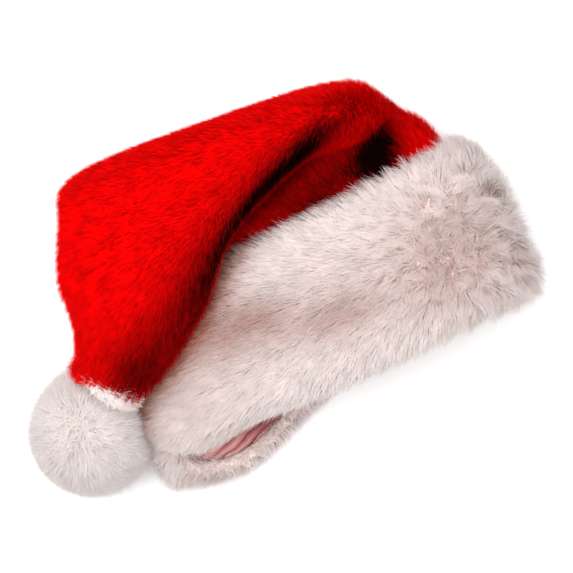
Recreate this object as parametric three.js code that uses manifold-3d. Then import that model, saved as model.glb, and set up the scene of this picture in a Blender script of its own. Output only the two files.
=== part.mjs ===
// A plush santa hat that lies on its back, seen from above, with its crown folded over to the front.
// Millimetres. +X runs along the cuff, +Y from the rim to the crown, +Z up from the surface it lies on.
import * as THREE from "three";
import { mergeVertices } from "three/addons/utils/BufferGeometryUtils.js";
import Module from "manifold-3d";

const wasm = await Module();
wasm.setup();

// Driving sizes
const headWidth = 256;
const headDepth = 64;
const cuffBreadth = 102;
const padThickness = 18;
const cuffPile = 8;
const lipBreadth = 9;
const lipThickness = 5;
const backSlip = 27;
const cornerRound = 14;
const rimArch = 5;
const crownRise = 84;
const plushThickness = 3;
const crownPile = 5;
const flapThickness = 40;
const tipWidth = 36;
const tipFlatness = 0.55;
const pompomCore = 64;
const pompomPile = 8;
const liningThickness = 1;
const seamGap = 0.4;
const floorPress = 1.5;
const foldThickening = 1;

// Sizes that follow from them
const headHalf = headWidth / 2;
const headRise = headDepth / 2;
const headMiddle = padThickness - floorPress + headRise;
const cuffTop = headMiddle + headRise + padThickness;
const upperEdge = cuffBreadth / 2;
const pompomRadius = pompomCore / 2;
const stations = 60;
const turnFull = 2 * Math.PI;

// How square the flattened opening is: its upper layer is rounder than the layer that lies on the surface.
const upperSquareness = 2.4;
const lowerSquareness = 4;
const padSquareness = 4;

// The crown's sections, from the cuff's upper edge over the fold to the tip. Across is a share of headHalf, along
// of crownRise from the cuff's upper edge, up of cuffTop, width of headHalf, and depth and droop of flapThickness.
// Turn, yaw and bank are degrees: turn carries the travel over the fold, yaw swings it to the left and bank
// lowers its left side. Droop bends both sides down, and round is the squareness of each layer.
const crownColumns = [
  "across", "along", "up", "turn", "yaw", "bank", "width", "depth", "droop", "roundUpper", "roundLower",
];
const crownRows = [
  [-0.01, 0.297, 0.385, 0, 0, 0, 0.975, 0.95, 0, 2.4, 4],
  [-0.025, 0.5, 0.35, 11, -2, 0, 0.92, 0.9, 0, 2.4, 3.6],
  [-0.045, 0.71, 0.48, 48, -4, 0, 0.855, 0.72, 0, 2.5, 2.9],
  [-0.07, 0.78, 0.71, 90, -7, 0, 0.82, 0.5, 0, 3.6, 3.6],
  [-0.165, 0.735, 0.95, 138, -8, 3, 0.74, 0.5, 0, 2.8, 2.6],
  [-0.415, 0.555, 1.06, 172, -9, 6, 0.562, 0.45, 0.05, 2.6, 2.4],
  [-0.64, 0.3, 1.14, 184, -9, 12, 0.435, 0.42, 0.2, 2.4, 2.4],
  [-0.835, -0.05, 1.07, 194, -17, 24, 0.335, 0.4, 0.35, 2.4, 2.4],
  [-1.03, -0.33, 0.92, 204, -30, 32, 0.22, 0.34, 0.3, 2.3, 2.3],
];

// The last two sections, where the crown narrows to its tip: degrees as above, and size as a share of tipWidth
const tipColumns = ["turn", "yaw", "bank", "size"];
const tipRows = [
  [212, -36, 42, 1.4],
  [224, -42, 36, 1],
];

// From this turn on the crown has come over the fold, and it lies on the cuff once it has turned further by this much.
const foldOver = 120;
const foldSpan = 40;

// Hollows and ridges of the plush. X is a share of headHalf, y of crownRise from the cuff's upper edge, long and
// wide are shares of headHalf, lean is degrees, and depth is a share of flapThickness: below zero it is a ridge.
const dentColumns = ["layer", "x", "y", "long", "wide", "lean", "depth"];
const dentRows = [
  ["lower", 0.67, 0.2, 0.2, 0.12, 45, 0.5],
  ["lower", 0.4, 0.48, 0.26, 0.085, 33, -0.16],
  ["lower", 0.2, 0.42, 0.3, 0.1, 30, 0.36],
  ["lower", 0.5, 0.68, 0.18, 0.09, 30, 0.3],
  ["flap", -0.18, 0.75, 0.3, 0.1, 25, 0.1],
  ["flap", -0.52, 0.55, 0.34, 0.1, 42, 0.1],
  ["flap", -0.8, 0.5, 0.26, 0.09, 65, -0.08],
];

const tableOf = (columns, rows) =>
  rows.map((row) => Object.fromEntries(columns.map((name, index) => [name, row[index]])));

const dents = tableOf(dentColumns, dentRows);
const crownTable = tableOf(crownColumns, crownRows);

const clamp = (value, low, high) => Math.min(Math.max(value, low), high);
const smooth = (value) => {
  const t = clamp(value, 0, 1);
  return t * t * (3 - 2 * t);
};
const signedPower = (value, exponent) => Math.sign(value) * Math.abs(value) ** exponent;
const bell = (value) => Math.exp(-value * value);

// A repeatable number from 0 to 1 for a place in a grid
function chance(i, j, seed) {
  const mixed = Math.sin(i * 127.1 + j * 311.7 + seed * 74.7) * 43758.5453;
  return mixed - Math.floor(mixed);
}

// A point of a rounded outline of half size 1. The layer that lies down has its own squareness.
function outlinePoint(angle, upper, lower) {
  const sine = Math.sin(angle);
  const exponent = 2 / (sine > 0 ? lower : upper);
  return [signedPower(Math.cos(angle), exponent), signedPower(sine, exponent)];
}

// Angles whose points lie evenly along a curve
function evenAngles(count, from, to, pointAt) {
  const fine = 1440;
  const lengths = [0];
  let before = pointAt(from);
  for (let k = 1; k <= fine; k++) {
    const point = pointAt(from + ((to - from) * k) / fine);
    lengths.push(lengths[k - 1] + Math.hypot(point[0] - before[0], point[1] - before[1]));
    before = point;
  }
  const angles = [];
  let k = 0;
  for (let index = 0; index < count; index++) {
    const wanted = (lengths[fine] * index) / count;
    while (lengths[k + 1] < wanted) k++;
    const share = (wanted - lengths[k]) / (lengths[k + 1] - lengths[k]);
    angles.push(from + ((to - from) * (k + share)) / fine);
  }
  return angles;
}

const headAngles = evenAngles(stations, 0, turnFull, (angle) => {
  const [c, s] = outlinePoint(angle, upperSquareness, lowerSquareness);
  return [headHalf * c, headRise * s];
});

// The tip of the crown and the pompom beside the cuff's left end
const pompomCentre = new THREE.Vector3(
  -headHalf * 1.31,
  upperEdge - crownRise * 0.75,
  pompomRadius + pompomPile - floorPress,
);
const tipDirection = new THREE.Vector3(0.6, 0.62, 0.5).normalize();
const tipEnd = pompomCentre.clone().addScaledVector(tipDirection, pompomRadius + seamGap);
const tipStart = tipEnd.clone().add(new THREE.Vector3(0.075 * headHalf, 0.11 * crownRise, 0.09 * cuffTop));

// The rim's place on Y at one angle of the opening. On the left the lower layer has slipped past the upper one,
// and the upper one's rim is arched and rounded at its corner.
function rimAt(angle) {
  const [c, s] = outlinePoint(angle, upperSquareness, lowerSquareness);
  const lower = smooth((s + 0.25) / 0.9);
  const slipCentre = -0.7;
  const slipSpread = c < slipCentre ? 0.4 : 0.48;
  const slip = backSlip * bell((c - slipCentre) / slipSpread) * lower;
  const corner = cornerRound * smooth((-c - 0.72) / 0.28);
  const arch = rimArch * bell((c + 0.46) / 0.3);
  return -upperEdge - slip + (corner + arch) * (1 - lower);
}

// How far the hat's left end is pressed in where the pompom lies against it
function pressAt(x, y) {
  const side = clamp((-x - headHalf * 0.32) / (headHalf * 0.86), 0, 2);
  return pompomRadius * 0.72 * side * side * bell((y - pompomCentre.y) / (pompomRadius * 1.35));
}

function pressed(point) {
  point.x += pressAt(point.x, point.y);
  return point;
}

// A point of the wall inside the cuff. Share runs from the rim to the cuff's upper edge, offset is outward.
function wallPoint(angle, y, offset) {
  const [c, s] = outlinePoint(angle, upperSquareness, lowerSquareness);
  const point = new THREE.Vector3((headHalf + offset) * c, y, headMiddle - (headRise + offset) * s);
  return pressed(point);
}

// The height of what the flap lies on: the cuff's pad, and the lower crown beyond its edge
function deckHeight(x, y) {
  const across = clamp(y / upperEdge, -1, 1);
  const pad = padThickness * (1 - Math.abs(across) ** padSquareness) ** (1 / padSquareness);
  const share = Math.abs(x - pressAt(x, y)) / (headHalf + pad);
  if (share >= 1) return 0;
  return headMiddle + (headRise + pad) * (1 - share ** upperSquareness) ** (1 / upperSquareness);
}

// One section of the crown as real sizes: its middle, its turned axes and its half sizes
function sectionOf(row) {
  const turn = THREE.MathUtils.degToRad(row.turn);
  const bank = THREE.MathUtils.degToRad(row.bank);
  const yaw = THREE.MathUtils.degToRad(row.yaw);
  return {
    middle: new THREE.Vector3(row.across * headHalf, upperEdge + row.along * crownRise, row.up * cuffTop),
    turned: new THREE.Matrix4().makeRotationFromEuler(new THREE.Euler(turn, bank, yaw, "ZXY")),
    width: row.width * headHalf,
    depth: row.depth * flapThickness,
    droop: row.droop * flapThickness,
    upper: row.roundUpper,
    lower: row.roundLower,
    over: smooth((row.turn - foldOver) / foldSpan),
    thickness: 1 + foldThickening * smooth(row.turn / 60),
  };
}

function sectionPoint(section, angle, inset) {
  const [c, s] = outlinePoint(angle, section.upper, section.lower);
  const droop = section.droop * c * c;
  const point = new THREE.Vector3((section.width - inset) * c, 0, droop - (section.depth - inset) * s);
  return point.applyMatrix4(section.turned).add(section.middle);
}

// How far a section of the flap is lifted, so that its underside lies on the cuff and not in it
function liftOf(section) {
  let lift = 0;
  for (const angle of headAngles.filter((turn) => turn > Math.PI)) {
    const under = sectionPoint(section, angle, 0);
    const deck = deckHeight(under.x, under.y);
    if (deck > 0) lift = Math.max(lift, deck + cuffPile / 2 - under.z);
  }
  return section.over * lift;
}

// How far the plush sinks at a place seen from above
function dentAt(x, y, layer) {
  let sunk = 0;
  for (const dent of dents) {
    if (dent.layer !== layer) continue;
    const lean = THREE.MathUtils.degToRad(dent.lean);
    const dx = x - dent.x * headHalf;
    const dy = y - upperEdge - dent.y * crownRise;
    const along = dx * Math.cos(lean) + dy * Math.sin(lean);
    const aside = dy * Math.cos(lean) - dx * Math.sin(lean);
    sunk += dent.depth * flapThickness * bell(along / (dent.long * headHalf)) * bell(aside / (dent.wide * headHalf));
  }
  return sunk;
}

// Rows between the table's rows, by a smooth curve through each column
function blended(rows, place) {
  const last = rows.length - 1;
  const k = clamp(Math.floor(place), 0, last - 1);
  const t = place - k;
  const at = (index) => rows[clamp(index, 0, last)];
  const result = {};
  for (const name of Object.keys(rows[0])) {
    const [p0, p1, p2, p3] = [at(k - 1)[name], at(k)[name], at(k + 1)[name], at(k + 2)[name]];
    result[name] =
      p1 + 0.5 * t * (p2 - p0 + t * (2 * p0 - 5 * p1 + 4 * p2 - p3 + t * (3 * (p1 - p2) + p3 - p0)));
  }
  return result;
}

// The table with the cuff's edge before it and the tip after it
function wholeCrownTable() {
  const edge = {
    across: 0,
    along: 0,
    up: headMiddle / cuffTop,
    turn: 0,
    yaw: 0,
    bank: 0,
    width: 1,
    depth: headRise / flapThickness,
    droop: 0,
    roundUpper: upperSquareness,
    roundLower: lowerSquareness,
  };
  const tip = (place, { turn, yaw, bank, size }) => ({
    across: place.x / headHalf,
    along: (place.y - upperEdge) / crownRise,
    up: place.z / cuffTop,
    turn,
    yaw,
    bank,
    width: (size * tipWidth) / 2 / headHalf,
    depth: (tipFlatness * size * tipWidth) / 2 / flapThickness,
    droop: 0,
    roundUpper: 2,
    roundLower: 2,
  });
  const [before, end] = tableOf(tipColumns, tipRows);
  return [edge, ...crownTable, tip(tipStart, before), tip(tipEnd, end)];
}

const crownSections = wholeCrownTable();

// A ring of the crown inside the cuff. Share is 0 at the crown's lower edge and 1 at the cuff's upper edge, and
// inset is how far inside the outer face the ring lies.
function wallRing(inset, angles, shareAt) {
  return angles.map((angle) => {
    const low = rimAt(angle) + lipBreadth + seamGap;
    return wallPoint(angle, low + (upperEdge - low) * shareAt(angle), -inset);
  });
}

// A ring of the crown beyond the cuff, at a place between the table's rows
function freeRing(inset, angles, place) {
  const section = sectionOf(blended(crownSections, place));
  const lift = liftOf(section);
  const layer = section.over > 0.5 ? "flap" : "lower";
  const dented = smooth(place / 1.2) * Math.abs(2 * section.over - 1);
  return angles.map((angle) => {
    const point = sectionPoint(section, angle, inset * section.thickness);
    if (section.over === 0) pressed(point);
    const upper = (layer === "flap" ? 1 : -1) * Math.sin(angle);
    point.z += lift - dented * smooth(2.5 * upper) * dentAt(point.x, point.y, layer);
    point.z = Math.max(point.z, inset);
    return point;
  });
}

const crownRings = (inset, angles, shares, places) => [
  ...shares.map((share) => wallRing(inset, angles, () => share)),
  ...places.map((place) => freeRing(inset, angles, place)),
];

// Faces between rings that follow each other. Where the ends aren't joined, each is closed by a fan.
function skin(rings, joined = false) {
  const around = rings[0].length;
  const points = rings.flat().map((point) => point.clone());
  const faces = [];
  const last = joined ? rings.length : rings.length - 1;
  for (let j = 0; j < last; j++) {
    const next = (j + 1) % rings.length;
    for (let i = 0; i < around; i++) {
      const a = j * around + i;
      const b = j * around + ((i + 1) % around);
      const c = next * around + ((i + 1) % around);
      const d = next * around + i;
      faces.push([a, c, b], [a, d, c]);
    }
  }
  if (!joined) {
    for (const [j, forward] of [[0, true], [rings.length - 1, false]]) {
      const centre = rings[j].reduce((sum, point) => sum.add(point), new THREE.Vector3());
      points.push(centre.divideScalar(around));
      for (let i = 0; i < around; i++) {
        const a = j * around + i;
        const b = j * around + ((i + 1) % around);
        faces.push(forward ? [points.length - 1, a, b] : [points.length - 1, b, a]);
      }
    }
  }
  return { points, faces };
}

function geometryOf({ points, faces }) {
  const geometry = new THREE.BufferGeometry();
  const places = new Float32Array(points.flatMap((point) => [point.x, point.y, point.z]));
  geometry.setAttribute("position", new THREE.BufferAttribute(places, 3));
  geometry.setIndex(faces.flat());
  return geometry;
}

// Turns the faces outward if the whole body encloses a negative volume
function facedOutward(body) {
  let volume = 0;
  const normal = new THREE.Vector3();
  for (const [a, b, c] of body.faces) {
    volume += body.points[a].dot(normal.crossVectors(body.points[b], body.points[c]));
  }
  return volume < 0 ? { points: body.points, faces: body.faces.map(([a, b, c]) => [a, c, b]) } : body;
}

function solidOf(body) {
  const geometry = mergeVertices(geometryOf(facedOutward(body)), 1e-4);
  return new wasm.Manifold(
    new wasm.Mesh({
      numProp: 3,
      vertProperties: geometry.attributes.position.array,
      triVerts: new Uint32Array(geometry.index.array),
    }),
  );
}

function geometryFromSolid(solid) {
  const mesh = solid.getMesh();
  const geometry = new THREE.BufferGeometry();
  geometry.setAttribute("position", new THREE.BufferAttribute(new Float32Array(mesh.vertProperties), 3));
  geometry.setIndex(Array.from(mesh.triVerts));
  return geometry;
}

// The outward direction at each point of a grid of rings
function ringNormals(rings, joined = false) {
  const around = rings[0].length;
  const sense = joined ? -1 : 1;
  const ring = (j) => rings[joined ? (j + rings.length) % rings.length : clamp(j, 0, rings.length - 1)];
  return rings.map((points, j) =>
    points.map((point, i) => {
      const round = points[(i + 1) % around].clone().sub(points[(i + around - 1) % around]);
      const along = ring(j + 1)[i].clone().sub(ring(j - 1)[i]);
      return round.cross(along).normalize().multiplyScalar(sense);
    }),
  );
}

// How much room there is ahead of a face before it meets one of these points. Points count that lie within a
// cone about the normal, whose narrowness is the cosine of its half angle.
function roomAhead(point, normal, others, narrowness = 0) {
  let room = Infinity;
  const away = new THREE.Vector3();
  for (const other of others) {
    const distance = away.subVectors(other, point).length();
    if (distance > 0.1 && distance < room && away.dot(normal) > narrowness * distance) room = distance;
  }
  return room;
}

// Draws every second point out into the tip of a lock, leaning the way the pile is combed. A lock has no height
// where the plush lies against a neighbour or is pressed on the surface.
function raiseLocks(rings, { pile, amount, comb, neighbours, seed, joined = false }) {
  const normals = ringNormals(rings, joined);
  const own = rings.flat();
  const ownNarrowness = 0.5;
  return rings.map((points, j) =>
    points.map((point, i) => {
      if ((i + j) % 2) return point.clone();
      const normal = normals[j][i];
      const reach = Math.min(roomAhead(point, normal, neighbours), roomAhead(point, normal, own, ownNarrowness));
      const room = smooth((reach - 2 * pile) / pile);
      const clearOfFloor = smooth((point.z - 0.4 * pile) / (1.4 * pile));
      const height = pile * amount(j, point) * room * clearOfFloor * (0.7 + 0.5 * chance(i, j, seed));
      return point.clone().addScaledVector(normal, height).addScaledVector(comb(j, i, point), height);
    }),
  );
}

function onFloor(rings) {
  for (const point of rings.flat()) point.z = Math.max(point.z, 0);
  return rings;
}

// The stretch that the cuff holds, and the free stretch beyond it. Every second station and ring is enough for the
// faces inside the hat, which share their places so that crown and lining lie evenly together.
const wallShares = [0, 0.25, 0.5, 0.75];
const innerAngles = headAngles.filter((_, i) => i % 2 === 0);
const lastPlace = crownSections.length - 1;
const freeSteps = 34;
const crownPlaces = Array.from({ length: freeSteps + 1 }, (_, k) => (lastPlace * k) / freeSteps);
const innerPlaces = crownPlaces.filter((place, k) => k % 2 === 0 && place < lastPlace - 1.2);

// A hollow runs on through the mouth.
function throughMouth(inset, angles) {
  const ring = wallRing(inset, angles, () => 0);
  for (const point of ring) point.y = -2 * cuffBreadth;
  return ring;
}

// Crown
function crownSkin() {
  const rings = crownRings(0, headAngles, wallShares, crownPlaces);
  const end = rings.length - 1;
  const clearance = 1;
  const away = new THREE.Vector3();
  for (const point of rings.flat()) {
    const distance = away.subVectors(point, pompomCentre).length();
    point.addScaledVector(away.normalize(), Math.max(0, pompomRadius + clearance - distance));
  }
  for (const point of rings[end]) {
    point.addScaledVector(tipDirection, -away.subVectors(point, tipEnd).dot(tipDirection));
  }
  return rings;
}

function crownSolid(rings, cuffRings) {
  const firstFree = wallShares.length;
  const end = rings.length - 1;
  const amount = (j, point) => {
    if (j <= firstFree) return 0;
    const clearOfSeam = j > end / 2 ? 1 : smooth((point.y - upperEdge - crownPile) / crownPile);
    return clearOfSeam * smooth((end - 1 - j) / 2);
  };
  const comb = (j, i) => rings[Math.min(j + 1, end)][i].clone().sub(rings[j][i]).normalize().multiplyScalar(0.5);
  const locked = raiseLocks(rings, { pile: crownPile, amount, comb, neighbours: cuffRings.flat(), seed: 3 });
  const outer = skin([wallRing(plushThickness, headAngles, () => 0), ...onFloor(locked)]);
  const hollow = skin([
    throughMouth(plushThickness, innerAngles),
    ...crownRings(plushThickness, innerAngles, wallShares, innerPlaces),
  ]);
  return solidOf(outer).subtract(solidOf(hollow));
}

// How far up its stretch in the cuff the lining's edge lies. It keeps clear of the lip's rounded corner.
function liningEdge(angle) {
  const [c] = outlinePoint(angle, upperSquareness, lowerSquareness);
  return 0.02 + 0.06 * smooth((-c - 0.7) / 0.15);
}

// Lining
function liningSolid() {
  const outerInset = plushThickness + seamGap;
  const innerInset = outerInset + liningThickness;
  const shares = wallShares.slice(1);
  const closedAt = innerPlaces.slice(0, 4);
  const last = closedAt.length - 1;
  const endThickness = (closedAt[last] - closedAt[last - 1]) / 8;
  const outer = skin([
    wallRing(innerInset, innerAngles, liningEdge),
    wallRing(outerInset, innerAngles, liningEdge),
    ...crownRings(outerInset, innerAngles, shares, closedAt),
  ]);
  const hollow = skin([
    throughMouth(innerInset, innerAngles),
    wallRing(innerInset, innerAngles, liningEdge),
    ...crownRings(innerInset, innerAngles, shares, [...closedAt.slice(0, last), closedAt[last] - endThickness]),
  ]);
  return solidOf(outer).subtract(solidOf(hollow));
}

// The cuff's section as rows of outward offset and place. A share runs from the rim at 0 to the upper edge at 1,
// fromRim is in millimetres, and seam is a share of the stretch that the crown is sewn to.
function cuffProfile() {
  const outerPoints = 12;
  const half = cuffBreadth / 2;
  const curve = (angle) => [
    half * signedPower(Math.cos(angle), 2 / padSquareness),
    padThickness * Math.sin(angle) ** (2 / padSquareness),
  ];
  const outer = evenAngles(outerPoints, 0, Math.PI, curve).map((angle) => {
    const [y, offset] = curve(angle);
    return { face: "outer", offset: Math.max(offset, seamGap), share: 0.5 + y / cuffBreadth };
  });
  const lip = [
    { face: "rim", offset: seamGap * 4, share: 0 },
    { face: "lip", offset: -lipThickness * 0.75, fromRim: lipBreadth * 0.09 },
    { face: "lip", offset: -lipThickness * 1.2, fromRim: lipBreadth * 0.38 },
    { face: "lip", offset: -lipThickness * 1.2, fromRim: lipBreadth * 0.72 },
    { face: "shelf", offset: -lipThickness, fromRim: lipBreadth },
    { face: "shelf", offset: seamGap, fromRim: lipBreadth },
  ];
  const seam = wallShares.slice(1).map((share) => ({ face: "seam", offset: seamGap, seam: share }));
  return [...outer, ...lip, ...seam];
}

function cuffSkin(profile) {
  const wave = 0.12 * padThickness;
  return profile.map((row) =>
    headAngles.map((angle) => {
      const rim = rimAt(angle);
      const low = rim + lipBreadth + seamGap;
      let y = rim + (upperEdge - rim) * (row.share ?? 0);
      if (row.face === "seam") y = low + (upperEdge - low) * row.seam;
      if (row.fromRim !== undefined) y = rim + row.fromRim;
      const fullness = row.face === "outer" ? (row.offset / padThickness) * smooth(0.5 - Math.sin(angle)) : 0;
      return wallPoint(angle, y, row.offset + wave * fullness * Math.sin(3 * angle + (9 * y) / cuffBreadth));
    }),
  );
}

// Cuff
function cuffSolid(profile, rings, crownPoints) {
  const share = { outer: 1, rim: 0.6, lip: 0.3, shelf: 0, seam: 0 };
  const amount = (j, point) => {
    const row = profile[j];
    const clearOfEdge = row.face === "outer" ? smooth((row.offset - 0.3 * padThickness) / (0.3 * padThickness)) : 1;
    const fromPompom = point.distanceTo(pompomCentre) - pompomRadius - pompomPile;
    return share[row.face] * clearOfEdge * smooth(fromPompom / cuffPile);
  };
  const comb = (j, i, point) => {
    const towardEdge = clamp(point.y / upperEdge, -1, 1);
    return new THREE.Vector3(point.z > headMiddle ? -0.5 : 0.2, 0.35 * towardEdge, 0);
  };
  const locked = raiseLocks(rings, {
    pile: cuffPile, amount, comb, neighbours: crownPoints, seed: 8, joined: true,
  });
  return solidOf(skin(onFloor(locked), true));
}

// Pompom: a ball of locks, short where the tip is sewn to it and where it lies against the cuff
function pompomSolid(cuffPoints) {
  const ball = new THREE.IcosahedronGeometry(pompomRadius, 7);
  ball.deleteAttribute("uv");
  ball.deleteAttribute("normal");
  const core = mergeVertices(ball, 1e-3);
  const spots = core.attributes.position;
  const points = [];
  for (let k = 0; k < spots.count; k++) {
    const out = new THREE.Vector3().fromBufferAttribute(spots, k).normalize();
    const place = pompomCentre.clone().addScaledVector(out, pompomRadius);
    const clearOfTip = smooth((place.distanceTo(tipEnd) - 0.6 * tipWidth) / (0.3 * pompomRadius));
    const room = smooth((roomAhead(place, out, cuffPoints) - pompomPile) / pompomPile);
    points.push(place.addScaledVector(out, pompomPile * clearOfTip * room * (0.3 + 0.8 * chance(k, 1, 5))));
  }
  const faces = [];
  for (let k = 0; k < core.index.count; k += 3) {
    faces.push([core.index.getX(k), core.index.getX(k + 1), core.index.getX(k + 2)]);
  }
  return solidOf({ points: onFloor([points])[0], faces });
}

// Materials
const plush = (color) => new THREE.MeshStandardMaterial({ color, roughness: 0.95, metalness: 0 });
const satin = (color) => new THREE.MeshStandardMaterial({ color, roughness: 0.4, metalness: 0 });

// Assembly
const profile = cuffProfile();
const crownForm = crownSkin();
const cuffForm = cuffSkin(profile);
const pieces = [
  ["crown", crownSolid(crownForm, cuffForm), plush(0xd40606)],
  ["cuff", cuffSolid(profile, cuffForm, crownForm.flat()), plush(0xf1e8e8)],
  ["pompom", pompomSolid(cuffForm.flat()), plush(0xf6f0f0)],
  ["lining", liningSolid(), satin(0xc46a70)],
];
const hat = new THREE.Group();
for (const [name, solid, material] of pieces) {
  const mesh = new THREE.Mesh(geometryFromSolid(solid), material);
  mesh.name = name;
  hat.add(mesh);
}

export default hat;
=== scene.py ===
"""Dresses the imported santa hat: plush crown, deep-pile cuff, pompom and satin lining, on a pale floor.

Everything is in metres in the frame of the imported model: +X runs along the cuff, +Y from the rim to the
crown, and +Z up from the floor that the hat lies on.
"""
import math

import bpy
import numpy as np
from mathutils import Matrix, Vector
from mathutils.kdtree import KDTree


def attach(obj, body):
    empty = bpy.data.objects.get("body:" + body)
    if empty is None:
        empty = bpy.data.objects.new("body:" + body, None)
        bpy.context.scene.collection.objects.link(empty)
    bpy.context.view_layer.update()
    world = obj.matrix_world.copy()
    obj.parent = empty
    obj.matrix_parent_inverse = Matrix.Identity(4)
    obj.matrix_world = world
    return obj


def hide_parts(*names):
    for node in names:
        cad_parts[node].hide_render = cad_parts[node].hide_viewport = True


bl_info = {
    "name": "Plush Santa Hat",
    "version": (1, 0, 0),
    "blender": (4, 5, 0),
    "location": "View3D > Sidebar > Santa Hat",
    "description": "Builds the pile, cloth and stage of a plush santa hat around its packed model",
    "category": "Add Mesh",
}

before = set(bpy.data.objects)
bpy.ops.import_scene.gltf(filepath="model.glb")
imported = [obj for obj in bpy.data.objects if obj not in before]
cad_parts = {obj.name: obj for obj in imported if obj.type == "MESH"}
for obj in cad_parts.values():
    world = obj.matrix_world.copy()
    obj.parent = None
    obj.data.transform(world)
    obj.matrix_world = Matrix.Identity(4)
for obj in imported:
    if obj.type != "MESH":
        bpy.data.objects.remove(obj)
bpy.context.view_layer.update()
BODY = "root"
MM = 0.001


# Properties

def length(name, description, value):
    return bpy.props.FloatProperty(
        name=name, description=description, default=value, min=0.0, precision=4,
        unit="LENGTH", subtype="DISTANCE")


def count(name, description, value):
    return bpy.props.IntProperty(name=name, description=description, default=value, min=0)


def srgb_to_linear(value):
    """Turns an sRGB hex colour such as 0xd40606 to the linear colour that the shaders take."""
    channels = [((value >> shift) & 255) / 255 for shift in (16, 8, 0)]
    return tuple(c / 12.92 if c <= 0.04045 else ((c + 0.055) / 1.055) ** 2.4 for c in channels)


def colour(name, description, value):
    return bpy.props.FloatVectorProperty(
        name=name, description=description, default=srgb_to_linear(value), min=0.0, max=1.0,
        size=3, subtype="COLOR")


class HatSizes(bpy.types.PropertyGroup):
    """The sizes of the hat's form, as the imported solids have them"""
    head_width: length("Head width", "Width of the flattened opening", 0.256)
    head_depth: length("Head depth", "Height of the opening as the hat lies", 0.064)
    cuff_breadth: length("Cuff breadth", "From the rim to the cuff's upper edge", 0.102)
    pad_thickness: length("Pad thickness", "Thickness of the cuff's wadding", 0.018)
    lip_breadth: length("Lip breadth", "How far the cuff is turned in at the rim", 0.009)
    lip_thickness: length("Lip thickness", "Thickness of the turned-in lip", 0.005)
    back_slip: length("Back slip", "How far the lower layer's rim shows past the upper one", 0.027)
    corner_round: length("Corner round", "How far the rim's left corner is rounded off", 0.014)
    rim_arch: length("Rim arch", "How far the upper rim is arched beside its left corner", 0.005)
    crown_rise: length("Crown rise", "Driving length of the crown beyond the cuff", 0.084)
    plush_thickness: length("Plush thickness", "Backing cloth and the roots of the pile", 0.003)
    flap_thickness: length("Flap thickness", "Driving thickness of the folded crown", 0.04)
    tip_width: length("Tip width", "Width of the tip at the pompom", 0.036)
    pompom_core: length("Pompom core", "Diameter of the pompom's tied core", 0.064)
    pompom_pile: length("Pompom pile", "How far the pompom's pile stands from its core", 0.008)
    pompom_cover: length("Pompom cover", "How far from its middle the pompom's pile covers the tip", 0.0365)
    lining_thickness: length("Lining thickness", "Thickness of the satin with its seam", 0.001)
    seam_gap: length("Seam gap", "Clear space between pieces that are sewn together", 0.0004)
    floor_press: length("Floor press", "How far what rests is pressed flat", 0.0015)
    cuff_pile: length("Cuff pile", "How far the cuff's pile stands from its backing", 0.008)


class PileLooks(bpy.types.PropertyGroup):
    """Length, width and number of the pile's strands"""
    crown_length: length("Crown strand", "Length of a strand of the red pile", 0.0105)
    crown_width: length("Crown strand width", "Width of a drawn strand of red pile", 0.00052)
    crown_count: count("Crown strands", "Strands on each half of the crown", 52000)
    cuff_length: length("Cuff strand", "Length of a strand of the white pile", 0.0155)
    cuff_width: length("Cuff strand width", "Width of a drawn strand of white pile", 0.0005)
    cuff_count: count("Cuff strands", "Strands on each half of the cuff's upper layer", 50000)
    pompom_length: length("Pompom strand", "Length of a strand of the pompom", 0.0165)
    pompom_width: length("Pompom strand width", "Width of a drawn strand of the pompom", 0.00055)
    pompom_count: count("Pompom strands", "Strands on the pompom", 42000)


class HatColours(bpy.types.PropertyGroup):
    """Colours of the pile, the lining and the stage"""
    red_tip: colour("Red pile", "Tips of the crown's pile", 0xff0404)
    # Painted shade: the roots are darker than the tips, for the shade among the strands
    red_root: colour("Red ground", "Roots of the crown's pile", 0xcc0000)
    # Painted shade: the red pile is mixed towards this where shade and shadow fall between the folds
    red_shade: colour("Red shade", "The crown's pile where it stands deep", 0x140000)
    white_tip: colour("White pile", "Tips of the cuff's pile", 0xfbf4f2)
    # Painted shade: the roots are darker and warmer than the tips, for the shade among the strands
    white_root: colour("White ground", "Roots of the cuff's pile", 0xe8d6d1)
    # Painted shade: the white pile is mixed towards this in its hollows, between curls and in the flap's
    # painted shadow
    white_shade: colour("White shade", "The white pile where it stands deep", 0xb6705a)
    pompom_tip: colour("Pompom pile", "Tips of the pompom's pile", 0xfcf5f3)
    # Painted shade: the roots are a little darker than the tips, for the shade among the strands
    pompom_root: colour("Pompom ground", "Roots of the pompom's pile", 0xf0e6e3)
    satin: colour("Satin", "Lining where light falls on it", 0xd89895)
    # Painted shade: the lining's creases and its slit under the cuff take this colour
    satin_crease_shade: colour("Satin fold", "Lining in its gathers", 0x780c0c)
    floor: colour("Floor", "The pale floor", 0xfafafa)


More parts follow.
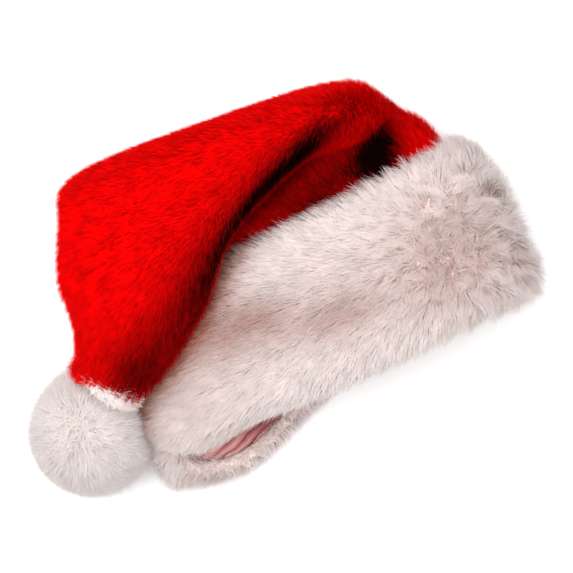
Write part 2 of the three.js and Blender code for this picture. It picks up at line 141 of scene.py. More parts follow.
# The crown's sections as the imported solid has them, from the cuff's upper edge over the fold to the tip.
# Across and width are shares of half the head's width, along of the crown's rise from the cuff's upper edge,
# up of the cuff's height, and depth and droop of the flap's thickness. Turn, yaw and bank are degrees.
CROWN_COLUMNS = (
    "across", "along", "up", "turn", "yaw", "bank", "width", "depth", "droop", "round_upper", "round_lower")
CROWN_ROWS = (
    (-0.01, 0.297, 0.385, 0, 0, 0, 0.975, 0.95, 0, 2.4, 4),
    (-0.025, 0.5, 0.35, 11, -2, 0, 0.92, 0.9, 0, 2.4, 3.6),
    (-0.045, 0.71, 0.48, 48, -4, 0, 0.855, 0.72, 0, 2.5, 2.9),
    (-0.07, 0.78, 0.71, 90, -7, 0, 0.82, 0.5, 0, 3.6, 3.6),
    (-0.165, 0.735, 0.95, 138, -8, 3, 0.74, 0.5, 0, 2.8, 2.6),
    (-0.415, 0.555, 1.06, 172, -9, 6, 0.562, 0.45, 0.05, 2.6, 2.4),
    (-0.64, 0.3, 1.14, 184, -9, 12, 0.435, 0.42, 0.2, 2.4, 2.4),
    (-0.835, -0.05, 1.07, 194, -17, 24, 0.335, 0.4, 0.35, 2.4, 2.4),
    (-1.03, -0.33, 0.92, 204, -30, 32, 0.22, 0.34, 0.3, 2.3, 2.3),
)

# Hollows and ridges of the plush. X, long and wide are shares of half the head's width, y of the crown's rise
# from the cuff's upper edge, lean is degrees and depth a share of the flap's thickness, below 0 for ridges.
DENT_COLUMNS = ("layer", "x", "y", "long", "wide", "lean", "depth")
DENT_ROWS = (
    ("lower", 0.67, 0.2, 0.2, 0.12, 45, 0.5),
    ("lower", 0.4, 0.48, 0.26, 0.085, 33, -0.16),
    ("lower", 0.2, 0.42, 0.3, 0.1, 30, 0.36),
    ("lower", 0.5, 0.68, 0.18, 0.09, 30, 0.3),
    ("flap", -0.18, 0.75, 0.3, 0.1, 25, 0.1),
    ("flap", -0.52, 0.55, 0.34, 0.1, 42, 0.1),
    ("flap", -0.8, 0.5, 0.26, 0.09, 65, -0.08),
)

# How the crown's pile is combed, as the way it points seen from above: heading is degrees from +X towards +Y.
# X is a share of half the head's width, and y of the crown's rise from the cuff's upper edge.
COMB_COLUMNS = ("layer", "x", "y", "heading")
COMB_ROWS = (
    ("flap", -0.85, 0.93, 170),
    ("flap", -1.0, 0.6, 176),
    ("flap", -0.45, 0.75, 184),
    ("flap", 0.2, 0.9, 178),
    ("flap", 0.6, 0.75, 172),
    ("flap", -0.3, 0.45, 198),
    ("flap", 0.1, 0.42, 215),
    ("flap", -0.2, 0.2, 226),
    ("flap", -0.75, 0.25, 196),
    ("flap", -0.55, 0.0, 224),
    ("flap", -1.1, 0.0, 205),
    ("flap", -1.0, -0.3, 222),
    ("lower", 0.8, 0.4, 112),
    ("lower", 0.4, 0.3, 100),
    ("lower", 0.0, 0.2, 118),
    ("lower", 0.6, 0.8, 125),
)

# Painted shade on the pile: where it is darkened between the folds, along the flap's turned-under edge, as
# the flap's shadow on the cuff and in the cuff's hollows, for the shade that falls there. The columns are
# those of the hollows, with depth as a share of the darkest painted shade.
PAINTED_SHADE_ROWS = (
    ("both", 0.36, 0.55, 0.25, 0.05, 20, 1.1),
    ("both", -0.03, 0.3, 0.3, 0.06, 29, 1.1),
    ("lower", 0.7, 0.18, 0.17, 0.11, 52, 1.3),
    ("lower", 0.35, 0.12, 0.5, 0.1, 15, 0.35),
    ("flap", -0.4, -0.06, 0.62, 0.16, 31, 0.75),
    ("flap", -0.92, -0.42, 0.2, 0.14, 45, 0.5),
    ("cuff", -0.53, -0.35, 0.5, 0.085, 31, 1.3),
    ("cuff", -0.98, -0.7, 0.15, 0.09, 80, 0.8),
    ("cuff", 0.84, -0.69, 0.27, 0.17, 100, 0.04),
    ("cuff", -0.1, -0.6, 0.75, 0.17, 4, 0.12),
    ("cuff", -0.68, -0.9, 0.3, 0.2, 30, 0.08),
)

# Soft hollows in the cuff's face, as shares of half the head's width and of the pad's thickness. The pile
# over them is also painted in shade.
CUFF_DENT_COLUMNS = ("x", "y", "long", "wide", "lean", "depth")
CUFF_DENT_ROWS = (
    (-0.36, 0.06, 0.16, 0.1, 10, 0.28),
    (-0.16, 0.06, 0.14, 0.1, -15, 0.25),
    (0.2, -0.1, 0.26, 0.1, -5, 0.22),
    (0.74, -0.1, 0.2, 0.16, 20, 0.16),
)

UPPER_SQUARENESS = 2.4
LOWER_SQUARENESS = 4
PAD_SQUARENESS = 4


# Small mathematics

def table_of(columns, rows):
    return [dict(zip(columns, row)) for row in rows]


def smooth(value):
    t = np.clip(value, 0.0, 1.0)
    return t * t * (3 - 2 * t)


def bell(value):
    return np.exp(-np.square(value))


def signed_power(value, exponent):
    return np.sign(value) * np.abs(value) ** exponent


def between(rng, number, low, high):
    """Random numbers from low to high."""
    return low + (high - low) * rng.random(number)


def either_way(rng, *shape):
    """Random numbers from -1 to 1."""
    return 2 * (rng.random(shape) - 0.5)


def unit(vectors):
    size = np.linalg.norm(vectors, axis=-1, keepdims=True)
    return vectors / np.maximum(size, 1e-12)


def dot(a, b):
    return np.sum(a * b, axis=-1, keepdims=True)


def outline(angle, upper, lower):
    """A rounded outline of half size 1. The layer that lies down, where the sine is positive, has its own
    corners."""
    sine = np.sin(angle)
    exponent = 2 / np.where(sine > 0, lower, upper)
    return signed_power(np.cos(angle), exponent), signed_power(sine, exponent)


def even_angles(number, start, end, curve):
    """Angles whose points lie evenly along a curve."""
    fine = np.linspace(start, end, 2880)
    x, y = curve(fine)
    lengths = np.concatenate(([0.0], np.cumsum(np.hypot(np.diff(x), np.diff(y)))))
    return np.interp(np.arange(number) / number * lengths[-1], lengths, fine)


def blended(rows, place):
    """Rows between the table's rows, by a smooth curve through each column."""
    last = len(rows) - 1
    k = int(min(max(math.floor(place), 0), last - 1))
    t = place - k
    p0, p1, p2, p3 = (rows[min(max(k + step, 0), last)] for step in (-1, 0, 1, 2))
    return {
        name: p1[name] + 0.5 * t * (p2[name] - p0[name] + t * (
            2 * p0[name] - 5 * p1[name] + 4 * p2[name] - p3[name] + t * (
                3 * (p1[name] - p2[name]) + p3[name] - p0[name])))
        for name in p1
    }


def turned(turn, bank, yaw):
    """The rotation that banks, then turns, then yaws, from degrees."""
    a, b, c = (math.radians(value) for value in (turn, bank, yaw))
    about_x = np.array([[1, 0, 0], [0, math.cos(a), -math.sin(a)], [0, math.sin(a), math.cos(a)]])
    about_y = np.array([[math.cos(b), 0, math.sin(b)], [0, 1, 0], [-math.sin(b), 0, math.cos(b)]])
    about_z = np.array([[math.cos(c), -math.sin(c), 0], [math.sin(c), math.cos(c), 0], [0, 0, 1]])
    return about_z @ about_x @ about_y


def sunk(dents, x, y, half, top, rise, depth):
    """How far a surface sinks at places seen from above, for a table of dents."""
    total = np.zeros_like(x)
    for dent in dents:
        lean = math.radians(dent["lean"])
        dx = x - dent["x"] * half
        dy = y - top - dent["y"] * rise
        along = dx * math.cos(lean) + dy * math.sin(lean)
        aside = dy * math.cos(lean) - dx * math.sin(lean)
        share = bell(along / (dent["long"] * half)) * bell(aside / (dent["wide"] * half))
        total += dent["depth"] * depth * share
    return total


class HatForm:
    """The main surfaces of the hat, worked out from its sizes."""

    def __init__(self, sizes):
        self.sizes = sizes
        self.half = sizes.head_width / 2
        self.rise = sizes.head_depth / 2
        self.middle = sizes.pad_thickness - sizes.floor_press + self.rise
        self.top = self.middle + self.rise + sizes.pad_thickness
        self.edge = sizes.cuff_breadth / 2
        self.ball = sizes.pompom_core / 2
        self.pompom = np.array([
            -self.half * 1.31,
            self.edge - sizes.crown_rise * 0.75,
            self.ball + sizes.pompom_pile - sizes.floor_press,
        ])
        tip_axis = unit(np.array([0.6, 0.62, 0.5]))
        self.tip_end = self.pompom + tip_axis * (self.ball + sizes.seam_gap)
        self.tip_start = self.tip_end + np.array([
            0.075 * self.half, 0.11 * sizes.crown_rise, 0.09 * self.top])
        self.dents = table_of(DENT_COLUMNS, DENT_ROWS)
        self.painted_shades = table_of(DENT_COLUMNS, PAINTED_SHADE_ROWS)
        self.cuff_dents = table_of(CUFF_DENT_COLUMNS, CUFF_DENT_ROWS)
        self.sections = self.whole_table()

    def sunk_by(self, dents, points, depth=1.0):
        """How far places sink by dents that are placed from the cuff's upper edge. With the painted shade
        rows it gives how dark the pile is painted.
        """
        return sunk(dents, points[:, 0], points[:, 1], self.half, self.edge, self.sizes.crown_rise, depth)

    def cuff_sunk_by(self, points, depth=1.0):
        """How far places sink by the cuff's own hollows. The cuff's pile is painted in shade by the same
        bells.
        """
        return sunk(self.cuff_dents, points[:, 0], points[:, 1], self.half, 0.0, self.half, depth)

    def from_pompom(self, points):
        """How far places lie from the pompom's middle, seen from above."""
        return np.linalg.norm((points - self.pompom)[..., :2], axis=-1)

    def head_angles(self, number):
        def curve(angle):
            c, s = outline(angle, UPPER_SQUARENESS, LOWER_SQUARENESS)
            return self.half * c, self.rise * s
        return even_angles(number, 0.0, 2 * math.pi, curve)

    def whole_table(self):
        """The crown's table with the cuff's edge before it and the tip after it."""
        sizes = self.sizes
        edge = dict.fromkeys(CROWN_COLUMNS, 0.0)
        edge.update(
            up=self.middle / self.top, width=1.0, depth=self.rise / sizes.flap_thickness,
            round_upper=UPPER_SQUARENESS, round_lower=LOWER_SQUARENESS)

        def tip(place, turn, yaw, bank, size):
            values = (
                place[0] / self.half, (place[1] - self.edge) / sizes.crown_rise, place[2] / self.top,
                turn, yaw, bank, size * sizes.tip_width / 2 / self.half,
                0.55 * size * sizes.tip_width / 2 / sizes.flap_thickness, 0.0, 2, 2)
            return dict(zip(CROWN_COLUMNS, values))

        body = table_of(CROWN_COLUMNS, CROWN_ROWS)
        return [edge, *body, tip(self.tip_start, 212, -36, 42, 1.4), tip(self.tip_end, 224, -42, 36, 1)]

    def rim(self, angle):
        """The rim's place on Y. The lower layer has slipped past the upper one at the left."""
        c, s = outline(angle, UPPER_SQUARENESS, LOWER_SQUARENESS)
        lower = smooth((s + 0.25) / 0.9)
        centre = -0.7
        spread = np.where(c < centre, 0.4, 0.48)
        slip = self.sizes.back_slip * bell((c - centre) / spread) * lower
        corner = self.sizes.corner_round * smooth((-c - 0.72) / 0.28)
        arch = self.sizes.rim_arch * bell((c + 0.46) / 0.3)
        return -self.edge - slip + (corner + arch) * (1 - lower)

    def press(self, x, y):
        """How far the hat's left end is pressed in where the pompom lies against it."""
        side = np.clip((-x - self.half * 0.32) / (self.half * 0.86), 0, 2)
        return self.ball * 0.72 * side * side * bell((y - self.pompom[1]) / (self.ball * 1.35))

    def pressed(self, points):
        result = points.copy()
        result[..., 0] += self.press(points[..., 0], points[..., 1])
        return result

    def wall(self, angle, y, offset):
        c, s = outline(angle, UPPER_SQUARENESS, LOWER_SQUARENESS)
        points = np.stack(np.broadcast_arrays(
            (self.half + offset) * c, y, self.middle - (self.rise + offset) * s), axis=-1)
        return self.pressed(points)

    def deck(self, x, y):
        """The height of what the flap lies on: the cuff's pad, and the lower crown beyond it."""
        across = np.clip(y / self.edge, -1, 1)
        pad = self.sizes.pad_thickness * (1 - np.abs(across) ** PAD_SQUARENESS) ** (1 / PAD_SQUARENESS)
        part = np.minimum(np.abs(x - self.press(x, y)) / (self.half + pad), 1)
        height = (self.rise + pad) * (1 - part ** UPPER_SQUARENESS) ** (1 / UPPER_SQUARENESS)
        return np.where(part < 1, self.middle + height, 0)

    def section_points(self, row, angles, inset):
        """One section's ring, before it is lifted off what it lies on."""
        sizes = self.sizes
        thickness = 1 + float(smooth(row["turn"] / 60))
        c, s = outline(angles, row["round_upper"], row["round_lower"])
        half_depth = row["depth"] * sizes.flap_thickness - inset * thickness
        flat = np.stack([
            (row["width"] * self.half - inset * thickness) * c,
            np.zeros_like(c),
            row["droop"] * sizes.flap_thickness * c * c - half_depth * s,
        ], axis=-1)
        middle = np.array([
            row["across"] * self.half, self.edge + row["along"] * sizes.crown_rise, row["up"] * self.top])
        return flat @ turned(row["turn"], row["bank"], row["yaw"]).T + middle

    def free_ring(self, inset, angles, place):
        row = blended(self.sections, place)
        over = float(smooth((row["turn"] - 120) / 40))
        under = self.section_points(row, np.linspace(math.pi, 2 * math.pi, 60)[1:-1], 0)
        deck = self.deck(under[:, 0], under[:, 1])
        clear = deck + self.sizes.cuff_pile / 2 - under[:, 2]
        lift = over * max(0.0, float(np.max(np.where(deck > 0, clear, 0))))
        points = self.section_points(row, angles, inset)
        if over == 0:
            points = self.pressed(points)
        layer = "flap" if over > 0.5 else "lower"
        facing = (1 if layer == "flap" else -1) * np.sin(angles)
        dents = [dent for dent in self.dents if dent["layer"] == layer]
        depth = self.sunk_by(dents, points, self.sizes.flap_thickness)
        dented = float(smooth(place / 1.2)) * abs(2 * over - 1)
        points[:, 2] += lift - dented * smooth(2.5 * facing) * depth
        points[:, 2] = np.maximum(points[:, 2], inset)
        return points

    def wall_ring(self, inset, angles, part):
        low = self.rim(angles) + self.sizes.lip_breadth + self.sizes.seam_gap
        return self.wall(angles, low + (self.edge - low) * part, -inset)

    def crown(self, inset, angles, parts, places):
        rings = [self.wall_ring(inset, angles, part) for part in parts]
        rings += [self.free_ring(inset, angles, place) for place in places]
        points = np.array(rings)
        away = points - self.pompom
        distance = np.linalg.norm(away, axis=-1, keepdims=True)
        return points + unit(away) * np.maximum(self.ball + 1 * MM - distance, 0)


# Meshes

def grid_normals(grid, closed_along=False):
    """The outward direction at each point of a grid of rings, and the direction along the rings' sequence."""
    round_way = np.roll(grid, -1, axis=1) - np.roll(grid, 1, axis=1)
    if closed_along:
        along = np.roll(grid, -1, axis=0) - np.roll(grid, 1, axis=0)
    else:
        along = np.gradient(grid, axis=0)
    return unit(np.cross(round_way, along)), unit(along)


def mesh_of(name, points, faces, material):
    mesh = bpy.data.meshes.new(name)
    mesh.from_pydata(points.tolist(), [], faces)
    mesh.validate()
    mesh.shade_smooth()
    mesh.materials.append(material)
    obj = bpy.data.objects.new(name, mesh)
    bpy.context.scene.collection.objects.link(obj)
    return obj


def ring_faces(rows, around, start=0, closed_along=False, flip=False):
    """Quads between rings that follow each other."""
    faces = []
    for j in range(rows if closed_along else rows - 1):
        after = (j + 1) % rows
        for i in range(around):
            beside = (i + 1) % around
            face = (j * around + i, j * around + beside, after * around + beside, after * around + i)
            face = tuple(start + index for index in face)
            faces.append(face[::-1] if flip else face)
    return faces


def cap_faces(first, around, centre, flip=False):
    faces = [(first + (i + 1) % around, first + i, centre) for i in range(around)]
    return [face[::-1] for face in faces] if flip else faces


def shell_mesh(name, outer, inner, material):
    """A bag with an outer and an inner face, joined at its mouth and closed at its far end."""
    rows, around = outer.shape[:2]
    inside = rows * around
    points = np.concatenate([
        outer.reshape(-1, 3), inner.reshape(-1, 3), [outer[-1].mean(0)], [inner[-1].mean(0)]])
    faces = ring_faces(rows, around) + ring_faces(rows, around, start=inside, flip=True)
    for i in range(around):
        beside = (i + 1) % around
        faces.append((beside, i, inside + i, inside + beside))
    faces += cap_faces((rows - 1) * around, around, 2 * inside, flip=True)
    faces += cap_faces(inside + (rows - 1) * around, around, 2 * inside + 1)
    return mesh_of(name, points, faces, material)


class Roots:
    """Places on a surface where strands grow, with what the surface does there."""

    def __init__(self, grid, normals, along, number, weight, rng, closed_along=False):
        rows, around = grid.shape[:2]
        corners = [
            (grid, normals, along, weight),
            (np.roll(grid, -1, 1), np.roll(normals, -1, 1), np.roll(along, -1, 1), np.roll(weight, -1, 1)),
        ]
        if closed_along:
            lower = [tuple(np.roll(part, -1, 0) for part in corner) for corner in corners]
        else:
            lower = [tuple(part[1:] for part in corner) for corner in corners]
            corners = [tuple(part[:-1] for part in corner) for corner in corners]
        (p00, n00, a00, w00), (p01, n01, a01, w01) = corners
        (p10, n10, a10, w10), (p11, n11, a11, w11) = lower
        area = 0.5 * np.linalg.norm(np.cross(p11 - p00, p10 - p01), axis=-1) * (w00 + w01 + w10 + w11) / 4
        shares = np.cumsum(area.ravel())
        wanted = (np.arange(number) + rng.random(number)) / number * shares[-1]
        cell = np.minimum(np.searchsorted(shares, wanted), area.size - 1)
        u = rng.random((number, 1))
        v = rng.random((number, 1))

        def mixed(a, b, c, d):
            flat = [part.reshape(-1, 3)[cell] for part in (a, b, c, d)]
            return (flat[0] * (1 - u) + flat[1] * u) * (1 - v) + (flat[2] * (1 - u) + flat[3] * u) * v

        self.points = mixed(p00, p01, p10, p11)
        self.normals = unit(mixed(n00, n01, n10, n11))
        self.along = unit(mixed(a00, a01, a10, a11))
        self.row = cell // around + v[:, 0]


def on_surface(vectors, normals):
    """The share of each direction that runs along the surface."""
    return unit(vectors - normals * dot(vectors, normals))


def combed(strokes, x, y):
    """The way that the pile points at places seen from above, between the strokes of a comb table."""
    total = np.zeros((len(x), 3))
    for stroke in strokes:
        near = 1 / (0.02 + np.square(x - stroke["x"]) + np.square(y - stroke["y"])) ** 1.5
        heading = math.radians(stroke["heading"])
        total += near[:, None] * np.array([math.cos(heading), math.sin(heading), 0.0])
    return unit(total)


def curls(points):
    """The way that small curls turn at places on the pile, and where the pile between them is painted in
    shade, from 0 to
    1."""
    x = (points[:, 0] + points[:, 2]) / MM
    y = (points[:, 1] - 0.6 * points[:, 2]) / MM
    bent_x = x + 2.2 * np.sin(y / 3.4) + 1.3 * np.sin(y / 1.7 + x / 5)
    bent_y = y + 2.0 * np.sin(x / 3.1) + 1.2 * np.sin(x / 1.9 - y / 6)
    turn = np.stack([np.sin(bent_x / 2.1), np.cos(bent_y / 1.9), -np.sin(bent_x / 2.1)], axis=1)
    return turn, smooth(0.2 + np.sin(bent_x / 1.8) * np.sin(bent_y / 1.6))


def gathered(points, tips, spacing, pull, rng):
    """Draws the tips of neighbouring strands together into locks."""
    number = len(points)
    area_each = spacing * spacing
    spread = points.max(0) - points.min(0)
    box_area = 2 * (spread[0] * spread[1] + spread[1] * spread[2] + spread[0] * spread[2])
    locks = int(min(number / 4, box_area / area_each))
    chosen = rng.choice(number, locks, replace=False)
    tree = KDTree(locks)
    for index, k in enumerate(chosen):
        tree.insert(points[k], index)
    tree.balance()
    nearest = np.array([tree.find(point)[1] for point in points])
    target = tips[chosen][nearest]
    return tips + (target - tips) * pull, nearest


# A strand is a ribbon of two faces. The columns are how far along it a level is, and its width there.
STRAND_LEVELS = ((0.0, 1.0), (0.5, 0.8), (1.0, 0.0))
STRAND_CORNERS = (0, 1, 3, 2, 2, 3, 4)
STRAND_FACES = (0, 4)
STRAND_POINTS = 5
STRAND_ROLL = 0.7
STRAND_SHARE_OF_LIGHT = 0.15
LOWEST_STRAND = 0.2 * MM


def strand_curves(roots, lay, rise, reach, lock, curl, rng):
    """The middle and the tip of each strand, and its tone. Lay is its way along the surface, and rise is how
    steeply it leaves it. Lock is how far apart the locks stand, and how much they draw the tips together."""
    number = len(roots.points)
    base, normal = roots.points, roots.normals
    reach = reach[:, None]
    lean = rise[:, None]
    start = unit(normal * (0.35 + lean) + lay * 0.6)
    end = unit(normal * (0.1 + 0.8 * lean) + lay)
    tips = base + reach * (0.45 * start + 0.55 * end)
    tone = rng.random(number)
    if lock:
        spacing, pull = lock
        strength = pull * (0.5 + 0.5 * rng.random((number, 1)))
        tips, nearest = gathered(base, tips, spacing, strength, rng)
        lock_tone = rng.random(int(nearest.max()) + 1)[nearest]
        tone = 0.55 * tone + 0.45 * lock_tone
    sideways = np.cross(normal, lay)
    middle = base + 0.5 * reach * start + sideways * either_way(rng, number, 1) * curl * reach
    return middle, tips, tone


def ribbons(roots, middle, tips, tone, width, rng):
    """The points of each strand's tapered ribbon, and the way that each point faces the light: softly, as the
    surface does that the strands cover together."""
    base, normal = roots.points, roots.normals
    angle = STRAND_ROLL * either_way(rng, len(base), 1)
    levels = []
    facing = []
    for t, part in STRAND_LEVELS:
        centre = (1 - t) ** 2 * base + 2 * t * (1 - t) * middle + t * t * tips
        heading = unit((1 - t) * (middle - base) + t * (tips - middle))
        flat = unit(np.cross(heading, normal))
        across = flat * np.cos(angle) + np.cross(heading, flat) * np.sin(angle)
        half = 0.5 * width * part * (0.7 + 0.6 * tone[:, None])
        levels += [centre - across * half, centre + across * half] if part else [centre]
        own = np.cross(across, heading)
        own = own * np.where(dot(own, normal) < 0, -1, 1)
        soft = unit(normal * (1 - STRAND_SHARE_OF_LIGHT) + own * STRAND_SHARE_OF_LIGHT)
        facing += [soft] * (2 if part else 1)
    points = np.stack(levels, axis=1)
    points[..., 2] = np.maximum(points[..., 2], LOWEST_STRAND)
    return points, np.stack(facing, axis=1)


def ribbon_mesh(name, material, points, facing, values):
    """One mesh of all the ribbons, with values for the material at each point."""
    number = len(points)
    strand = np.arange(number)[:, None]
    loops = (strand * STRAND_POINTS + np.array(STRAND_CORNERS)).ravel()
    starts = (strand * len(STRAND_CORNERS) + np.array(STRAND_FACES)).ravel()
    mesh = bpy.data.meshes.new(name)
    mesh.vertices.add(number * STRAND_POINTS)
    mesh.vertices.foreach_set("co", points.astype(np.float32).ravel())
    mesh.loops.add(len(loops))
    mesh.loops.foreach_set("vertex_index", loops.astype(np.int32))
    mesh.polygons.add(len(starts))
    mesh.polygons.foreach_set("loop_start", starts.astype(np.int32))
    mesh.update(calc_edges=True)
    mesh.shade_smooth()
    for label, value in values.items():
        point_values(mesh, label, value)
    mesh.normals_split_custom_set_from_vertices(facing.reshape(-1, 3).tolist())
    mesh.materials.append(material)
    obj = bpy.data.objects.new(name, mesh)
    bpy.context.scene.collection.objects.link(obj)
    return obj


def point_values(mesh, label, values):
    """Writes one value for each point of a mesh, which a material reads by its label."""
    attribute = mesh.attributes.new(label, "FLOAT", "POINT")
    attribute.data.foreach_set("value", values.astype(np.float32))


def grow_pile(name, slot, material, roots, lay, rise, reach, width, rng, lock=None, curl=0.1, depth=None):
    """One mesh of pile, fixed to the hat. Depth is the painted shade of each strand, from 0 in the open to 1
    where it is darkest."""
    number = len(roots.points)
    middle, tips, tone = strand_curves(roots, lay, rise, reach, lock, curl, rng)
    points, facing = ribbons(roots, middle, tips, tone, width, rng)
    ends = np.repeat([t for t, part in STRAND_LEVELS], [2 if part else 1 for t, part in STRAND_LEVELS])
    values = {
        "along": np.tile(ends, number),
        "tone": np.repeat(tone, STRAND_POINTS),
        # Painted shade of each strand, which the material reads under the label depth
        "depth": np.repeat(np.zeros(number) if depth is None else depth, STRAND_POINTS),
    }
    placed(ribbon_mesh(name, material, points, facing, values), slot)


# Materials

def add_node(tree, kind, settings=None, values=None, links=None):
    """Adds one node, with its settings, the values of its sockets and the sockets that feed it."""
    node = tree.nodes.new(kind)
    for name, value in (settings or {}).items():
        setattr(node, name, value)
    for name, value in (values or {}).items():
        node.inputs[name].default_value = value
    for name, socket in (links or {}).items():
        tree.links.new(socket, node.inputs[name])
    return node


def new_material(name):
    material = bpy.data.materials.new(name)
    material.use_nodes = True
    tree = material.node_tree
    tree.nodes.clear()
    return material, tree


def pile_material(name, tip, root, shade, through, patch_mm, patch_depth):
    """Polyester pile: crimped fibres that let some light through. Each strand is painted darker at its root
    for the shade among the strands, the pile is painted towards its shade colour by the depth value where
    shade and shadow fall, and patches of it lie a little lighter or darker."""
    material, tree = new_material(name)
    along = add_node(tree, "ShaderNodeAttribute", {"attribute_name": "along"})
    tone = add_node(tree, "ShaderNodeAttribute", {"attribute_name": "tone"})
    # Painted shade: depth mixes each strand towards the shade colour
    depth = add_node(tree, "ShaderNodeAttribute", {"attribute_name": "depth"})
    where = add_node(tree, "ShaderNodeTexCoord")
    patches = add_node(
        tree, "ShaderNodeTexNoise", values={"Scale": 1 / (patch_mm * MM), "Detail": 3.0, "Roughness": 0.6},
        links={"Vector": where.outputs["Object"]})
    rising = add_node(
        tree, "ShaderNodeMapRange", {"interpolation_type": "SMOOTHSTEP"},
        {"From Min": 0.0, "From Max": 0.7, "To Min": 0.0, "To Max": 1.0}, {"Value": along.outputs["Fac"]})
    # Painted shade: each strand goes from the darker root colour to the tip colour
    root_shaded_pile = add_node(
        tree, "ShaderNodeMix", {"data_type": "RGBA"}, {"A": (*root, 1), "B": (*tip, 1)},
        {"Factor": rising.outputs["Result"]})
    # Painted shade, where shade and shadow fall on the pile
    shaded_pile = add_node(
        tree, "ShaderNodeMix", {"data_type": "RGBA"}, {"B": (*shade, 1)},
        {"A": root_shaded_pile.outputs["Result"], "Factor": depth.outputs["Fac"]})
    lighter = add_node(
        tree, "ShaderNodeMapRange", values={"From Min": 0.0, "From Max": 1.0, "To Min": 0.89, "To Max": 1.03},
        links={"Value": tone.outputs["Fac"]})
    patchy = add_node(
        tree, "ShaderNodeMapRange", values={
            "From Min": 0.3, "From Max": 0.7, "To Min": 1 - patch_depth, "To Max": 1 + patch_depth / 2},
        links={"Value": patches.outputs["Fac"]})
    both = add_node(
        tree, "ShaderNodeMath", {"operation": "MULTIPLY"},
        links={0: lighter.outputs["Result"], 1: patchy.outputs["Result"]})
    toned = add_node(
        tree, "ShaderNodeVectorMath", {"operation": "SCALE"},
        links={"Vector": shaded_pile.outputs["Result"], "Scale": both.outputs["Value"]})
    fibre = add_node(
        tree, "ShaderNodeBsdfPrincipled", values={"Roughness": 0.9, "Specular IOR Level": 0.04},
        links={"Base Color": toned.outputs["Vector"]})
    glow = add_node(tree, "ShaderNodeBsdfTranslucent", links={"Color": toned.outputs["Vector"]})
    shader = add_node(
        tree, "ShaderNodeMixShader", values={0: through},
        links={1: fibre.outputs["BSDF"], 2: glow.outputs["BSDF"]})
    add_node(tree, "ShaderNodeOutputMaterial", links={"Surface": shader.outputs["Shader"]})
    return material


def backing_material(name, shade, tip, patch_mm):
    """The pile's dense ground, seen between strands: a knitted backing with the roots of the pile on it."""
    material, tree = new_material(name)
    where = add_node(tree, "ShaderNodeTexCoord")
    tufts = add_node(
        tree, "ShaderNodeTexNoise", values={"Scale": 1 / (patch_mm * MM), "Detail": 6.0, "Roughness": 0.7},
        links={"Vector": where.outputs["Object"]})
    # The ground is patched between the roots' colour, with its painted shade, and the tips' colour
    mixed = add_node(
        tree, "ShaderNodeMix", {"data_type": "RGBA"}, {"A": (*shade, 1), "B": (*tip, 1)},
        {"Factor": tufts.outputs["Fac"]})
    bump = add_node(
        tree, "ShaderNodeBump", values={"Strength": 0.8, "Distance": 1.5 * MM},
        links={"Height": tufts.outputs["Fac"]})
    shader = add_node(
        tree, "ShaderNodeBsdfPrincipled",
        values={"Roughness": 0.95, "Specular IOR Level": 0.05},
        links={"Base Color": mixed.outputs["Result"], "Normal": bump.outputs["Normal"]})
    add_node(tree, "ShaderNodeOutputMaterial", links={"Surface": shader.outputs["BSDF"]})
    return material


def bands(period):
    """The wave texture's scale for bands that lie a period apart."""
    return 2 * math.pi / 20 / period


def satin_material(lit, fold):
    """Woven polyester satin: long floats give a soft gloss along the warp. It is creased where it is pressed
    between the layers, and its creases and the slit under the upper layer are painted in the satin's shade
    colour."""
    material, tree = new_material("Woven polyester satin")
    where = add_node(tree, "ShaderNodeTexCoord")
    along = add_node(
        tree, "ShaderNodeMapping", values={"Rotation": (0, 0, math.radians(72))},
        links={"Vector": where.outputs["Object"]})
    threads = add_node(
        tree, "ShaderNodeTexWave", {"wave_type": "BANDS", "bands_direction": "X"},
        {"Scale": bands(0.6 * MM), "Distortion": 1.5, "Detail": 2.0}, {"Vector": where.outputs["Object"]})
    creases = add_node(
        tree, "ShaderNodeTexWave", {"wave_type": "BANDS", "bands_direction": "X"},
        {"Scale": bands(5 * MM), "Distortion": 7.0, "Detail": 2.0, "Detail Scale": 0.5},
        {"Vector": along.outputs["Vector"]})
    in_crease = add_node(
        tree, "ShaderNodeMapRange", {"interpolation_type": "SMOOTHSTEP"},
        {"From Min": 0.0, "From Max": 0.4, "To Min": 1.0, "To Max": 0.0}, {"Value": creases.outputs["Fac"]})
    pressed = add_node(tree, "ShaderNodeAttribute", {"attribute_name": "pressed"})
    creased = add_node(
        tree, "ShaderNodeMath", {"operation": "MULTIPLY"},
        links={0: in_crease.outputs["Result"], 1: pressed.outputs["Fac"]})
    shaded = add_node(tree, "ShaderNodeAttribute", {"attribute_name": "shaded"})
    # Painted shade in the slit, under the upper layer of the cuff
    darker = add_node(
        tree, "ShaderNodeMath", {"operation": "MAXIMUM"},
        links={0: creased.outputs["Value"], 1: shaded.outputs["Fac"]})
    # The lit satin is mixed towards its painted shade colour in the creases and the slit
    mixed = add_node(
        tree, "ShaderNodeMix", {"data_type": "RGBA"}, {"A": (*lit, 1), "B": (*fold, 1)},
        {"Factor": darker.outputs["Value"]})
    folds = add_node(
        tree, "ShaderNodeBump", values={"Strength": 0.8, "Distance": 1.5 * MM},
        links={"Height": creases.outputs["Fac"]})
    bump = add_node(
        tree, "ShaderNodeBump", values={"Strength": 0.3, "Distance": 0.05 * MM},
        links={"Height": threads.outputs["Fac"], "Normal": folds.outputs["Normal"]})
    shader = add_node(
        tree, "ShaderNodeBsdfPrincipled",
        values={"Roughness": 0.38, "Sheen Weight": 0.2, "Sheen Roughness": 0.3},
        links={"Base Color": mixed.outputs["Result"], "Normal": bump.outputs["Normal"]})
    add_node(tree, "ShaderNodeOutputMaterial", links={"Surface": shader.outputs["BSDF"]})
    return material


